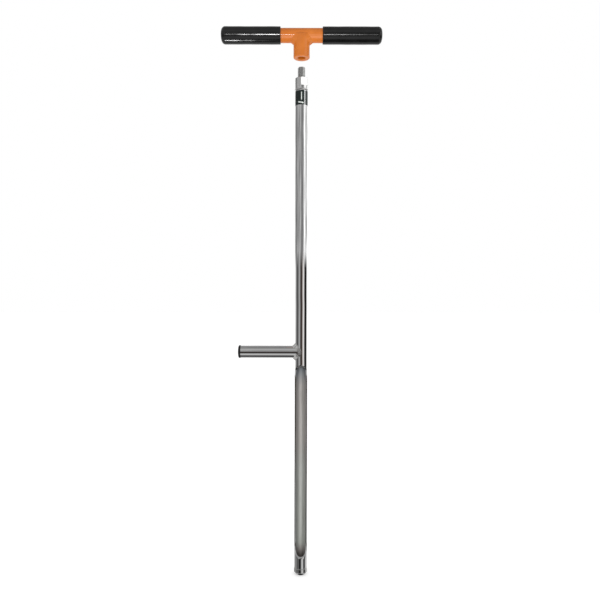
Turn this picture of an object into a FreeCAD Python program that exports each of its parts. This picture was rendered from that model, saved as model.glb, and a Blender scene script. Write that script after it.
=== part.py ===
import FreeCAD, Part
import math
import os
import re
import Sketcher

# Tube-type soil step probe. The cutting edge is at z = 0 with the shaft along +Z,
# the foot step points to -X and the sampling window faces -Y. Millimetres and degrees.
DRIVING = {
    # tube with the sampling window
    "tubeOuter": 20.6,
    "tubeWall": 2.0,
    "tubeLength": 785.5,
    "windowStart": 18.0,
    "windowLength": 314.8,
    "windowPastAxis": 0.5,
    "windowCutter": 30.0,
    # hardened cutting tip, screwed into the lower end of the tube
    "tipOuter": 22.0,
    "tipBore": 15.5,
    "tipEdge": 16.1,
    "tipBevel": 4.1,
    "tipLength": 10.5,
    "tipSpigotWall": 1.25,
    "tipSpigotLength": 12.0,
    "tipShoulder": 0.35,
    # turned collar that closes the upper end of the tube
    "collarOuter": 21.4,
    "collarLength": 19.6,
    "collarSpigotLength": 15.0,
    "collarChamfer": 1.0,
    "flatsAcross": 17.4,
    "flatsLength": 13.4,
    "flatsTurn": 31.0,
    # 1/2-13 stud
    "studMajor": 12.7,
    "studPitch": 1.9538,
    "studThreadDepth": 1.1985,
    "threadHalfAngle": 30.0,
    "threadCutProud": 0.1,
    "studLength": 17.8,
    "studSeat": 16.0,
    "studChamfer": 1.2,
    # ring weld between tube and collar
    "ringWeldPrep": 1.1,
    "ringWeldReach": 1.7,
    "ringWeldCrown": 0.55,
    # printed band
    "labelDrop": 2.6,
    "labelHeight": 23.5,
    "labelThickness": 0.15,
    "labelSpan": 344.0,
    # foot step
    "stepHeight": 365.3,
    "stepOuter": 20.6,
    "stepWall": 1.8,
    "stepReach": 100.6,
    "stepWeldWidth": 5.0,
    "stepWeldHeight": 1.4,
    "plugHead": 3.2,
    "plugCrown": 1.3,
    "plugUndersize": 0.2,
    "plugInset": 0.5,
    "plugBarrelWall": 1.6,
    "plugBarrelLength": 14.0,
    "plugRibHeight": 0.55,
    "plugRibPitch": 3.6,
    # cross handle, lifted clear of the stud
    "handleLift": 33.2,
    "barOuter": 23.4,
    "barWall": 2.0,
    "barLength": 258.3,
    "socketOuter": 26.9,
    "socketLength": 25.9,
    "socketWrap": 10.2,
    "socketBoreDepth": 22.0,
    "socketChamfer": 1.0,
    "socketWeldSize": 1.8,
    "socketWeldRise": 2.0,
    "barExposed": 69.0,
    "gripOuter": 28.1,
    "gripEnd": 4.0,
    "gripCorner": 6.9,
    "gripDome": 40.0,
    "gripMouthRound": 0.9,
    # clearances on radius
    "fitGap": 0.03,
    "threadGap": 0.06,
}

# Lengths that follow from the driving ones.
DERIVED = {
    "tubeRadius": "=tubeOuter / 2",
    "tubeBoreRadius": "=tubeOuter / 2 - tubeWall",
    "tubeTop": "=tipLength + tubeLength",
    "windowRunOut": "=sqrt(windowCutter^2 - (windowCutter - tubeRadius - windowPastAxis)^2)",
    "windowLead": "=windowCutter - windowRunOut",
    "spigotRadius": "=tipBore / 2 + tipSpigotWall",
    "collarTop": "=tubeTop + collarLength",
    "studRadius": "=studMajor / 2",
    "threadSlope": "=tan(threadHalfAngle * 1deg)",
    "threadMouth": "=7 / 8 * studPitch",
    "threadRoot": "=threadMouth - 2 * studThreadDepth * threadSlope",
    "threadCutMouth": "=threadMouth + 2 * threadCutProud * threadSlope",
    "socketBottom": "=collarTop + handleLift",
    "barRadius": "=barOuter / 2",
    "barHeight": "=socketBottom + socketLength + barRadius",
    "gripRadius": "=gripOuter / 2",
    "gripTip": "=barLength / 2 + gripEnd",
    "gripCornerRise": "=gripRadius - gripCorner",
    "domeCentre": "=gripTip - gripDome",
    "cornerCentre": "=domeCentre + sqrt((gripDome - gripCorner)^2 - gripCornerRise^2)",
    "cornerStretch": "=gripDome / (gripDome - gripCorner)",
    "domeEnd": "=domeCentre + (cornerCentre - domeCentre) * cornerStretch",
    "domeEndRise": "=gripCornerRise * cornerStretch",
    "gripMouth": "=barExposed / 2",
    "stepRadius": "=stepOuter / 2",
    "stepBoreRadius": "=stepOuter / 2 - stepWall",
    "plugRadius": "=stepRadius - plugUndersize",
    "plugBarrel": "=stepBoreRadius - fitGap - plugRibHeight",
    "plugDome": "=((plugRadius - plugInset)^2 + plugCrown^2) / (2 * plugCrown)",
}

UP = FreeCAD.Vector(0, 0, 1)

doc = FreeCAD.newDocument("soil_probe")
sheet = doc.addObject("Spreadsheet::Sheet", "dims")
subParts = []


def fillSheet():
    """Names in column A, values in column B; every alias exists before a formula needs it."""
    rows = {**DRIVING, **DERIVED}
    for row, name in enumerate(rows, start=1):
        sheet.set(f"A{row}", name)
        sheet.setAlias(f"B{row}", name)
    for row, value in enumerate(rows.values(), start=1):
        sheet.set(f"B{row}", str(value))
    doc.recompute()


def bound(expression):
    """Turn the sheet's names in an expression into references to its cells."""
    def reference(match):
        word = match.group(0)
        return f"dims.{word}" if word in DRIVING or word in DERIVED else word
    return re.sub(r"[A-Za-z]\w*", reference, expression)


def newBody(name, height="0", turn="0"):
    """A body whose own origin stands at a height on the shaft's axis, turned about it."""
    body = doc.addObject("PartDesign::Body", name)
    body.Label = name
    body.Placement = FreeCAD.Placement(FreeCAD.Vector(), FreeCAD.Rotation(UP, 1))
    body.setExpression("Placement.Base.z", bound(height))
    body.setExpression("Placement.Rotation.Angle", bound(f"( {turn} ) * 1 deg"))
    subParts.append(body)
    return body


def newSketch(body, role, name):
    sketch = body.newObject("Sketcher::SketchObject", name)
    plane = next(f for f in body.Origin.OriginFeatures if f.Role == role)
    sketch.AttachmentSupport = (plane, [""])
    sketch.MapMode = "FlatFace"
    return sketch


def arcBetween(start, end, radius, side):
    """A minor arc from start to end, its centre on the left (side 1) or right (side -1)."""
    chord = end - start
    middle = (start + end) * 0.5
    rise = math.sqrt(radius**2 - (chord.Length / 2) ** 2)
    normal = FreeCAD.Vector(-chord.y, chord.x, 0).normalize() * side
    centre = middle + normal * rise
    first, last = (start, end) if side > 0 else (end, start)
    angles = [math.atan2(p.y - centre.y, p.x - centre.x) for p in (first, last)]
    circle = Part.Circle(centre, UP, radius)
    return Part.ArcOfCircle(circle, *angles)


def addOutline(sketch, corners):
    """Closed outline through corners (x, y) or (x, y, radius, side) where an arc leaves one."""
    corners = [tuple(bound(str(v)) for v in c[:3]) + tuple(c[3:]) for c in corners]
    points = [
        FreeCAD.Vector(*(float(sketch.evalExpression(v)) for v in c[:2]), 0) for c in corners
    ]
    ends = []
    for corner, start, end in zip(corners, points, points[1:] + points[:1]):
        if len(corner) == 2:
            edge = sketch.addGeometry(Part.LineSegment(start, end))
            ends.append((edge, 1, 2))
            continue
        radius = float(sketch.evalExpression(corner[2]))
        side = corner[3]
        edge = sketch.addGeometry(arcBetween(start, end, radius, side))
        ends.append((edge, 1, 2) if side > 0 else (edge, 2, 1))
    for this, following in zip(ends, ends[1:] + ends[:1]):
        corner = (this[0], this[2], following[0], following[1])
        sketch.addConstraint(Sketcher.Constraint("Coincident", *corner))
    for corner, point, (edge, first, _) in zip(corners, points, ends):
        for kind, text, value, axis in (
            ("DistanceX", corner[0], point.x, -2),
            ("DistanceY", corner[1], point.y, -1),
        ):
            if text == "0":
                sketch.addConstraint(Sketcher.Constraint("PointOnObject", edge, first, axis))
                continue
            index = sketch.addConstraint(Sketcher.Constraint(kind, -1, 1, edge, first, value))
            sketch.setExpression(f"Constraints[{index}]", text)
        if len(corner) > 2:
            radius = float(sketch.evalExpression(corner[2]))
            index = sketch.addConstraint(Sketcher.Constraint("Radius", edge, radius))
            sketch.setExpression(f"Constraints[{index}]", corner[2])


def addCircle(sketch, height, radius):
    """A circle on the sketch's vertical axis at a height."""
    rise = float(sketch.evalExpression(bound(height)))
    value = float(sketch.evalExpression(bound(radius)))
    edge = sketch.addGeometry(Part.Circle(FreeCAD.Vector(0, rise, 0), UP, value))
    index = sketch.addConstraint(Sketcher.Constraint("Radius", edge, value))
    sketch.setExpression(f"Constraints[{index}]", bound(radius))
    if height == "0":
        sketch.addConstraint(Sketcher.Constraint("Coincident", edge, 3, -1, 1))
        return
    sketch.addConstraint(Sketcher.Constraint("PointOnObject", edge, 3, -2))
    index = sketch.addConstraint(Sketcher.Constraint("DistanceY", -1, 1, edge, 3, rise))
    sketch.setExpression(f"Constraints[{index}]", bound(height))


def turned(body, name, corners, axis="V_Axis", span="360"):
    """Lathe work: an outline in the XZ plane turned about the vertical or horizontal axis."""
    sketch = newSketch(body, "XZ_Plane", f"{name}Outline")
    addOutline(sketch, corners)
    feature = body.newObject("PartDesign::Revolution", name)
    feature.Profile = sketch
    feature.ReferenceAxis = (sketch, [axis])
    feature.Angle = 360
    if span != "360":
        feature.setExpression("Angle", bound(f"{span} * 1 deg"))
    doc.recompute()
    return feature


def cutThrough(body, name, sketch):
    """Cut a sketch's outline right through the body, both ways."""
    before = body.Shape.Volume
    pocket = body.newObject("PartDesign::Pocket", name)
    pocket.Profile = sketch
    pocket.Type = 1
    pocket.Midplane = True
    doc.recompute()
    if not body.Shape.Volume < before:
        raise RuntimeError(f"{name} removed nothing from {body.Label}")
    return pocket


def makeProbeTube():
    body = newBody("probe_tube", "tipLength")
    turned(body, "tubeWallTurn", [
        ("spigotRadius + fitGap", "0"),
        ("tubeRadius", "0"),
        ("tubeRadius", "tubeLength - ringWeldPrep"),
        ("tubeRadius - ringWeldPrep", "tubeLength"),
        ("tubeBoreRadius", "tubeLength"),
        ("tubeBoreRadius", "tipSpigotLength + fitGap"),
        ("spigotRadius + fitGap", "tipSpigotLength + fitGap"),
    ])
    # A round cutter runs in from the front at both ends, so the window's ends are arched.
    front = "windowPastAxis - windowCutter"
    end = "windowStart + windowLength"
    window = newSketch(body, "YZ_Plane", "windowOutline")
    addOutline(window, [
        (front, "windowStart - windowLead", "windowCutter", 1),
        ("windowPastAxis", "windowStart + windowRunOut"),
        ("windowPastAxis", f"{end} - windowRunOut", "windowCutter", 1),
        (front, f"{end} + windowLead"),
    ])
    cutThrough(body, "samplingWindow", window)


def makeCuttingTip():
    body = newBody("cutting_tip")
    turned(body, "tipTurn", [
        ("tipBore / 2", "0"),
        ("tipEdge / 2", "0"),
        ("tipOuter / 2", "tipBevel"),
        ("tipOuter / 2", "tipLength - tipShoulder"),
        ("tipOuter / 2 - tipShoulder", "tipLength"),
        ("spigotRadius", "tipLength"),
        ("spigotRadius", "tipLength + tipSpigotLength"),
        ("tipBore / 2", "tipLength + tipSpigotLength"),
    ])


def makeTopCollar():
    body = newBody("top_collar", "tubeTop", "flatsTurn")
    turned(body, "collarTurn", [
        ("0", "-1 * collarSpigotLength"),
        ("tubeBoreRadius - fitGap", "-1 * collarSpigotLength"),
        ("tubeBoreRadius - fitGap", "0"),
        ("tubeRadius - ringWeldPrep", "0"),
        ("collarOuter / 2", "ringWeldPrep"),
        ("collarOuter / 2", "collarLength - collarChamfer"),
        ("collarOuter / 2 - collarChamfer", "collarLength"),
        ("studRadius + fitGap", "collarLength"),
        ("studRadius + fitGap", "collarLength - studSeat - fitGap"),
        ("0", "collarLength - studSeat - fitGap"),
    ])
    for side, name in ((-1, "frontFlat"), (1, "rearFlat")):
        flat = newSketch(body, "YZ_Plane", f"{name}Outline")
        addOutline(flat, [
            (f"{side} * flatsAcross / 2", "collarLength - flatsLength"),
            (f"{side} * collarOuter", "collarLength - flatsLength"),
            (f"{side} * collarOuter", "collarLength + collarChamfer"),
            (f"{side} * flatsAcross / 2", "collarLength + collarChamfer"),
        ])
        cutThrough(body, name, flat)


def makeThreadedStud():
    body = newBody("threaded_stud", "collarTop - studSeat")
    length = "studSeat + studLength"
    turned(body, "studTurn", [
        ("0", "0"),
        ("studRadius", "0"),
        ("studRadius", f"{length} - studChamfer"),
        ("studRadius - studChamfer", length),
        ("0", length),
    ])
    # The groove's outline stands a little proud of the crest, so that the cut is clean.
    start = "studSeat - 2 * studPitch"
    groove = newSketch(body, "XZ_Plane", "threadOutline")
    addOutline(groove, [
        ("studRadius - studThreadDepth", f"{start} - threadRoot / 2"),
        ("studRadius + threadCutProud", f"{start} - threadCutMouth / 2"),
        ("studRadius + threadCutProud", f"{start} + threadCutMouth / 2"),
        ("studRadius - studThreadDepth", f"{start} + threadRoot / 2"),
    ])
    before = body.Shape.Volume
    helix = body.newObject("PartDesign::SubtractiveHelix", "thread")
    helix.Profile = groove
    helix.ReferenceAxis = (groove, ["V_Axis"])
    helix.Mode = "pitch-height-angle"
    helix.setExpression("Pitch", bound("studPitch * 1 mm"))
    helix.setExpression("Height", bound("( studLength + 4 * studPitch ) * 1 mm"))
    doc.recompute()
    if not body.Shape.Volume < before:
        raise RuntimeError("the thread removed nothing")


def makeCollarWeld():
    body = newBody("collar_weld", "tubeTop")
    turned(body, "ringWeldTurn", [
        ("tubeRadius - ringWeldPrep", "0"),
        ("tubeRadius", "-1 * ringWeldPrep"),
        ("tubeRadius", "-1 * ringWeldReach"),
        ("tubeRadius + ringWeldCrown", "-0.5 * ringWeldReach", "ringWeldReach", 1),
        ("collarOuter / 2 + ringWeldCrown", "0.5 * ringWeldReach"),
        ("collarOuter / 2", "ringWeldReach"),
        ("collarOuter / 2", "ringWeldPrep"),
    ])


def makeLabelBand():
    body = newBody("label_band", "tubeTop - labelDrop - labelHeight", "90 + ( 360 - labelSpan ) / 2")
    turned(body, "bandTurn", [
        ("tubeRadius + fitGap", "0"),
        ("tubeRadius + fitGap + labelThickness", "0"),
        ("tubeRadius + fitGap + labelThickness", "labelHeight"),
        ("tubeRadius + fitGap", "labelHeight"),
    ], span="labelSpan")


def makeStepTube():
    body = newBody("step_tube", "stepHeight")
    turned(body, "stepTurn", [
        ("-1 * stepReach", "stepBoreRadius"),
        ("-1 * stepReach", "stepRadius"),
        ("0", "stepRadius"),
        ("0", "stepBoreRadius"),
    ], axis="H_Axis")
    saddle = newSketch(body, "XY_Plane", "saddleOutline")
    addCircle(saddle, "0", "tubeRadius + fitGap")
    cutThrough(body, "saddle", saddle)


def makeStepEndPlug():
    body = newBody("step_end_plug", "stepHeight")
    ribs = []
    for number in range(3):
        foot = f"-1 * stepReach + plugRibPitch * {number} + plugRibPitch / 2"
        ribs += [
            (foot, "plugBarrel"),
            (f"{foot} + plugRibHeight", "plugBarrel + plugRibHeight"),
            (f"{foot} + 2 * plugRibHeight", "plugBarrel"),
        ]
    turned(body, "plugTurn", [
        ("-1 * stepReach - plugHead", "0", "plugDome", -1),
        ("-1 * stepReach - plugHead + plugCrown", "plugRadius - plugInset"),
        ("-1 * stepReach - plugHead + plugCrown + plugInset", "plugRadius"),
        ("-1 * stepReach - fitGap", "plugRadius"),
        ("-1 * stepReach - fitGap", "plugBarrel"),
        *ribs,
        ("-1 * stepReach + plugBarrelLength", "plugBarrel"),
        ("-1 * stepReach + plugBarrelLength", "plugBarrel - plugBarrelWall"),
        ("-1 * stepReach", "plugBarrel - plugBarrelWall"),
        ("-1 * stepReach", "0"),
    ], axis="H_Axis")


def makeHandleBar():
    body = newBody("handle_bar", "barHeight")
    turned(body, "barTurn", [
        ("-1 * barLength / 2", "barRadius - barWall"),
        ("-1 * barLength / 2", "barRadius"),
        ("barLength / 2", "barRadius"),
        ("barLength / 2", "barRadius - barWall"),
    ], axis="H_Axis")


def makeHandleSocket():
    body = newBody("handle_socket", "socketBottom")
    turned(body, "socketTurn", [
        ("studRadius + threadGap + socketChamfer", "0"),
        ("socketOuter / 2 - socketChamfer", "0"),
        ("socketOuter / 2", "socketChamfer"),
        ("socketOuter / 2", "socketLength + socketWrap"),
        ("0", "socketLength + socketWrap"),
        ("0", "socketBoreDepth"),
        ("studRadius + threadGap", "socketBoreDepth"),
        ("studRadius + threadGap", "socketChamfer"),
    ])
    cradle = newSketch(body, "YZ_Plane", "cradleOutline")
    addCircle(cradle, "socketLength + barRadius", "barRadius + fitGap")
    cutThrough(body, "cradle", cradle)


def makeGrip(name, turn):
    body = newBody(name, "barHeight", turn)
    turned(body, f"{name}Turn", [
        ("-1 * gripTip", "0", "gripDome", -1),
        ("-1 * domeEnd", "domeEndRise", "gripCorner", -1),
        ("-1 * cornerCentre", "gripRadius"),
        ("-1 * gripMouth - gripMouthRound", "gripRadius", "gripMouthRound", -1),
        ("-1 * gripMouth", "gripRadius - gripMouthRound"),
        ("-1 * gripMouth", "barRadius + fitGap"),
        ("-1 * barLength / 2 - fitGap", "barRadius + fitGap"),
        ("-1 * barLength / 2 - fitGap", "0"),
    ], axis="H_Axis")


def primitive(kind, name, place, **sizes):
    """A Part primitive with its sizes bound to the sheet."""
    item = doc.addObject(kind, name)
    item.Placement = place
    for field, expression in sizes.items():
        item.setExpression(field, bound(expression))
    return item


def joined(kind, name, items):
    """A MultiFuse or MultiCommon of several shapes."""
    result = doc.addObject(kind, name)
    result.Shapes = items
    return result


def cutAway(name, base, tool, height):
    """The base less the tool, kept as a sub-part at a height on the shaft's axis."""
    result = doc.addObject("Part::Cut", name)
    result.Label = name
    result.Base = base
    result.Tool = tool
    result.setExpression("Placement.Base.z", bound(height))
    doc.recompute()
    subParts.append(result)


def shaftCylinder(name, radius):
    """A solid cylinder on the shaft's axis, half above and half below its own origin."""
    item = primitive(
        "Part::Cylinder", name, FreeCAD.Placement(), Radius=radius, Height="6 * stepOuter"
    )
    item.setExpression("Placement.Base.z", bound("-3 * stepOuter"))
    return item


def levelCylinder(name, radius, start, reach):
    """A solid cylinder along -X from a start on the X axis."""
    level = FreeCAD.Placement(FreeCAD.Vector(), FreeCAD.Rotation(FreeCAD.Vector(0, 1, 0), -90))
    item = primitive("Part::Cylinder", name, level, Radius=radius, Height=reach)
    item.setExpression("Placement.Base.x", bound(start))
    return item


def makeStepWeld():
    """A raised band along the saddle: two arms at 45 degrees that meet on the shaft's front."""
    reach = "2 * ( tubeOuter + stepOuter )"
    arms = []
    for name, angle in (("weldArmUpper", -135), ("weldArmLower", 135)):
        slope = FreeCAD.Rotation(FreeCAD.Vector(0, 1, 0), angle)
        place = FreeCAD.Placement(FreeCAD.Vector(), slope)
        arm = primitive(
            "Part::Box", name, place, Length=reach, Width=reach, Height="stepWeldWidth"
        )
        arm.setExpression("Placement.Base.y", bound("-1 * ( tubeOuter + stepOuter )"))
        arms.append(arm)
    arms[0].setExpression("Placement.Base.x", bound("stepWeldWidth / sqrt(2)"))
    arms[1].setExpression("Placement.Base.z", bound("stepWeldWidth / sqrt(2)"))
    chevron = joined("Part::MultiFuse", "weldChevron", arms)
    crown = joined("Part::MultiFuse", "weldCrown", [
        shaftCylinder("weldOverShaft", "tubeRadius + stepWeldHeight"),
        levelCylinder("weldOverStep", "stepRadius + stepWeldHeight", "0", "stepReach"),
    ])
    band = joined("Part::MultiCommon", "weldBand", [chevron, crown])
    tubes = joined("Part::MultiFuse", "weldTubes", [
        shaftCylinder("weldInShaft", "tubeRadius"),
        levelCylinder("weldInStep", "stepRadius", "0", "stepReach"),
    ])
    cutAway("step_weld", band, tubes, "stepHeight")


def makeSocketWeld():
    """Weld metal in the corner between the socket and the underside of the cross bar."""
    bottom = "-1 * barRadius - socketLength"
    halfBar = "barLength / 2"
    collar = primitive(
        "Part::Cylinder", "weldCollar", FreeCAD.Placement(),
        Radius="socketOuter / 2 + socketWeldSize",
        Height="socketLength + socketWrap + socketWeldRise",
    )
    overBar = levelCylinder("weldOverBar", "barRadius + socketWeldSize", halfBar, "barLength")
    inSocket = primitive(
        "Part::Cylinder", "weldInSocket", FreeCAD.Placement(),
        Radius="socketOuter / 2", Height="socketLength + socketWrap",
    )
    inBar = levelCylinder("weldInBar", "barRadius", halfBar, "barLength")
    for item in (collar, inSocket):
        item.setExpression("Placement.Base.z", bound(bottom))
    band = joined("Part::MultiCommon", "weldRing", [collar, overBar])
    solids = joined("Part::MultiFuse", "weldTee", [inSocket, inBar])
    cutAway("socket_weld", band, solids, "barHeight")


def checkAndExport():
    doc.recompute()
    for item in doc.Objects:
        if {"Invalid", "Error"} & set(item.State):
            raise RuntimeError(f"{item.Label} is {item.State}")
    for part in subParts:
        shape = part.Shape
        if shape.isNull() or not shape.isValid() or not shape.Solids:
            raise RuntimeError(f"{part.Label} has no valid solid")
    os.makedirs("parts", exist_ok=True)
    for part in subParts:
        part.Shape.exportStep(f"parts/{part.Label}.step")
        print(f"{part.Label}: {part.Shape.Volume:.1f} mm3, {len(part.Shape.Solids)} solid")


fillSheet()
makeProbeTube()
makeCuttingTip()
makeTopCollar()
makeThreadedStud()
makeCollarWeld()
makeLabelBand()
makeStepTube()
makeStepEndPlug()
makeStepWeld()
makeHandleBar()
makeHandleSocket()
makeGrip("left_grip", "0")
makeGrip("right_grip", "180")
makeSocketWeld()
checkAndExport()
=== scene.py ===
import math

import bmesh
import bpy
import numpy as np
from mathutils import Matrix, Vector


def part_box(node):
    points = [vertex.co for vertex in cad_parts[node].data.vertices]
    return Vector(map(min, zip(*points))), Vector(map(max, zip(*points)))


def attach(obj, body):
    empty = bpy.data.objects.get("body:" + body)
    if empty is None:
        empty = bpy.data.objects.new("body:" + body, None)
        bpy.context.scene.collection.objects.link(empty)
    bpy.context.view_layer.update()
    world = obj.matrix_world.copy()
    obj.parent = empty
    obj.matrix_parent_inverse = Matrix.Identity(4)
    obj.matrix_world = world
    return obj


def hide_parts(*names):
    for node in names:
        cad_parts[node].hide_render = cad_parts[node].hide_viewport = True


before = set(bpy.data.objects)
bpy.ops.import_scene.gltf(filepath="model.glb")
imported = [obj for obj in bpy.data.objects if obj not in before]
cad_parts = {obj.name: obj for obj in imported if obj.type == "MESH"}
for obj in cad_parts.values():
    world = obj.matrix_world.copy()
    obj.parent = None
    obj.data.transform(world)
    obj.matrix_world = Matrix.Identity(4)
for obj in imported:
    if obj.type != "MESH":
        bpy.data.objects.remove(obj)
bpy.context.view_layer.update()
mm = 0.001
tiny = 1e-6  # points closer than this are one point
sharpAngle = 38  # degrees; steeper edges stay crisp
print("frame loaded")


def radiusOf(node, side="x"):
    low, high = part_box(node)
    return (high.x - low.x if side == "x" else high.y - low.y) / 2


def span(node):
    low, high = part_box(node)
    return low.z, high.z


# sizes shared by several pieces, in metres
shaft = {
    "radius": radiusOf("probe_tube"),
    "wall": 2.0 * mm,
    "bottom": span("probe_tube")[0],
    "top": span("probe_tube")[1],
}
handle = {
    "barRadius": (span("handle_bar")[1] - span("handle_bar")[0]) / 2,
    "barHalf": radiusOf("handle_bar"),
    "exposed": -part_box("left_grip")[1].x,
    "axis": sum(span("handle_bar")) / 2,
    "socketBottom": span("handle_socket")[0],
    "socketRadius": radiusOf("handle_socket"),
}
step = {
    "radius": (span("step_tube")[1] - span("step_tube")[0]) / 2,
    "axis": sum(span("step_tube")) / 2,
    "end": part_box("step_tube")[0].x,
}


# nodes wired by short calls, for the finishes and for the studio
class NodeBench:
    def __init__(self, tree):
        self.tree = tree

    def add(self, kind, **settings):
        node = self.tree.nodes.new(kind)
        for name, value in settings.items():
            setattr(node, name, value)
        return node

    def link(self, output, socket):
        self.tree.links.new(output, socket)

    def noiseOn(self, vector, scale, detail, rough=0.5):
        node = self.add("ShaderNodeTexNoise")
        node.inputs["Scale"].default_value = scale
        node.inputs["Detail"].default_value = detail
        node.inputs["Roughness"].default_value = rough
        self.link(vector, node.inputs["Vector"])
        return node.outputs["Fac"]

    def ramp(self, value, stops):
        node = self.add("ShaderNodeValToRGB")
        points = node.color_ramp.elements
        while len(points) < len(stops):
            points.new(0.5)
        for point, (position, colour) in zip(points, stops):
            point.position = position
            grey = isinstance(colour, (int, float))
            point.color = (colour, colour, colour, 1) if grey else (*colour, 1)
        self.link(value, node.inputs["Fac"])
        return node.outputs["Color"]

    def maths(self, operation, first, second=0.0, clamp=False):
        node = self.add("ShaderNodeMath", operation=operation, use_clamp=clamp)
        for socket, value in zip(node.inputs, (first, second)):
            if isinstance(value, (int, float)):
                socket.default_value = value
            else:
                self.link(value, socket)
        return node.outputs[0]

    def mix(self, factor, first, second, blend="MIX"):
        node = self.add("ShaderNodeMix", data_type="RGBA", blend_type=blend)
        for socket, value in ((0, factor), (6, first), (7, second)):
            if isinstance(value, (int, float)):
                node.inputs[socket].default_value = value
            elif isinstance(value, tuple):
                node.inputs[socket].default_value = (*value, 1)
            else:
                self.link(value, node.inputs[socket])
        return node.outputs[2]


class Finish(NodeBench):
    def __init__(self, name):
        self.material = bpy.data.materials.new(name)
        self.material.use_nodes = True
        super().__init__(self.material.node_tree)
        self.shader = self.tree.nodes["Principled BSDF"]
        self.place = self.add("ShaderNodeTexCoord").outputs["Object"]

    def setShader(self, **values):
        for name, value in values.items():
            self.shader.inputs[name.replace("_", " ")].default_value = value

    def feed(self, name, output):
        self.link(output, self.shader.inputs[name])

    def noise(self, scale, detail, rough, stretch=(1, 1, 1)):
        node = self.add("ShaderNodeMapping")
        node.inputs["Scale"].default_value = stretch
        self.link(self.place, node.inputs["Vector"])
        return self.noiseOn(node.outputs["Vector"], scale, detail, rough)

    def shift(self, value, low, high):
        # from low to high over the middle of a noise's range
        return self.ramp(value, [(0.3, low), (0.7, high)])

    def axes(self):
        node = self.add("ShaderNodeSeparateXYZ")
        self.link(self.place, node.inputs[0])
        return tuple(node.outputs)

    def bump(self, height, strength, distance, under=None):
        node = self.add("ShaderNodeBump")
        node.inputs["Strength"].default_value = strength
        node.inputs["Distance"].default_value = distance
        self.link(height, node.inputs["Height"])
        if under is not None:
            self.link(under, node.inputs["Normal"])
        return node.outputs["Normal"]

    def wear(self, low, high):
        # light where the surface is convex, dark in the corners
        node = self.add("ShaderNodeNewGeometry")
        return self.ramp(node.outputs["Pointiness"], [(low, 0.0), (high, 1.0)])


def addObject(name, data):
    thing = bpy.data.objects.new(name, data)
    bpy.context.scene.collection.objects.link(thing)
    return thing


def meshFrom(name, points, faces, finishes, marks=None, sharp=sharpAngle):
    mesh = bpy.data.meshes.new(name)
    mesh.from_pydata([tuple(p) for p in points], [], faces)
    cleaner = bmesh.new()
    cleaner.from_mesh(mesh)
    if marks is not None:
        cleaner.faces.ensure_lookup_table()
        for face, mark in zip(cleaner.faces, marks):
            face.material_index = mark
    bmesh.ops.remove_doubles(cleaner, verts=cleaner.verts, dist=tiny)
    bmesh.ops.dissolve_degenerate(cleaner, edges=cleaner.edges, dist=tiny)
    bmesh.ops.recalc_face_normals(cleaner, faces=cleaner.faces)
    cleaner.to_mesh(mesh)
    cleaner.free()
    for finish in finishes:
        mesh.materials.append(finish)
    mesh.shade_smooth()
    mesh.set_sharp_from_angle(angle=math.radians(sharp))
    return addObject(name, mesh)


def onRing(radius, angle, height):
    # a point at an angle from the viewer's side towards +X
    return Vector((radius * math.sin(angle), -radius * math.cos(angle), height))


corners = {
    "arcStep": math.radians(15),
    "mostCut": 0.45,  # share of the shorter side
    "guardShare": 0.2,  # width of the guard strips
    "guardFrom": 3,  # sides longer than this many cuts get one
}


def rounded(outline, closed):
    # corners (radius, height, round) become arcs, each with a short guard strip beside it
    count = len(outline)
    result = []
    for index, corner in enumerate(outline):
        here = Vector(corner[:2])
        size = corner[2] if len(corner) > 2 else 0.0
        ends = not closed and index in (0, count - 1)
        if ends or size <= 0:
            result.append(here)
            continue
        before = Vector(outline[index - 1][:2]) - here
        after = Vector(outline[(index + 1) % count][:2]) - here
        angle = before.angle(after)
        most = corners["mostCut"] * min(before.length, after.length)
        cut = min(size / math.tan(angle / 2), most)
        size = cut * math.tan(angle / 2)
        middle = (before.normalized() + after.normalized()).normalized()
        centre = here + middle * (size / math.sin(angle / 2))
        start = here + before.normalized() * cut
        finish = here + after.normalized() * cut
        sweep = (start - centre).angle_signed(finish - centre)
        steps = max(3, round(abs(sweep) / corners["arcStep"]))
        if before.length > corners["guardFrom"] * cut:
            guard = min(cut, corners["guardShare"] * before.length)
            result.append(start + before.normalized() * guard)
        for number in range(steps + 1):
            arm = (start - centre).copy()
            arm.rotate(Matrix.Rotation(-sweep * number / steps, 2))
            result.append(centre + arm)
        if after.length > corners["guardFrom"] * cut:
            guard = min(cut, corners["guardShare"] * after.length)
            result.append(finish + after.normalized() * guard)
    return result


def lathe(name, outline, finishes, segments=128, axis="z", closed=False, reshape=None, mark=None):
    # outline of (radius, height, round) turned about the axis; reshape moves each point
    points = []
    rings = []
    profile = rounded(outline, closed)
    for radius, height in profile:
        if radius < tiny:
            points.append(Vector((0, 0, height)))
            rings.append([len(points) - 1] * segments)
            continue
        rings.append(list(range(len(points), len(points) + segments)))
        points += [onRing(radius, 2 * math.pi * number / segments, height) for number in range(segments)]
    faces = []
    marks = []
    pairs = list(zip(range(len(rings)), range(1, len(rings))))
    if closed:
        pairs.append((len(rings) - 1, 0))
    for low, high in pairs:
        for number in range(segments):
            following = (number + 1) % segments
            loop = [rings[low][number], rings[low][following]]
            loop += [rings[high][following], rings[high][number]]
            loop = list(dict.fromkeys(loop))  # three corners where a ring is a single point
            if len(loop) > 2:
                faces.append(loop)
                marks.append(mark(profile[low], profile[high]) if mark else 0)
    if axis == "x":
        points = [Vector((p.z, p.y, p.x)) for p in points]
    if reshape:
        points = [reshape(p) for p in points]
    return meshFrom(name, points, faces, finishes, marks)


def finishPiece(piece, body, node):
    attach(piece, body)
    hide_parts(node)
    print("made", piece.name)


def placed(height, turn=0.0):
    matrix = Matrix.Translation((0, 0, height)) @ Matrix.Rotation(turn, 4, "Z")
    return lambda point: matrix @ point


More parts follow.
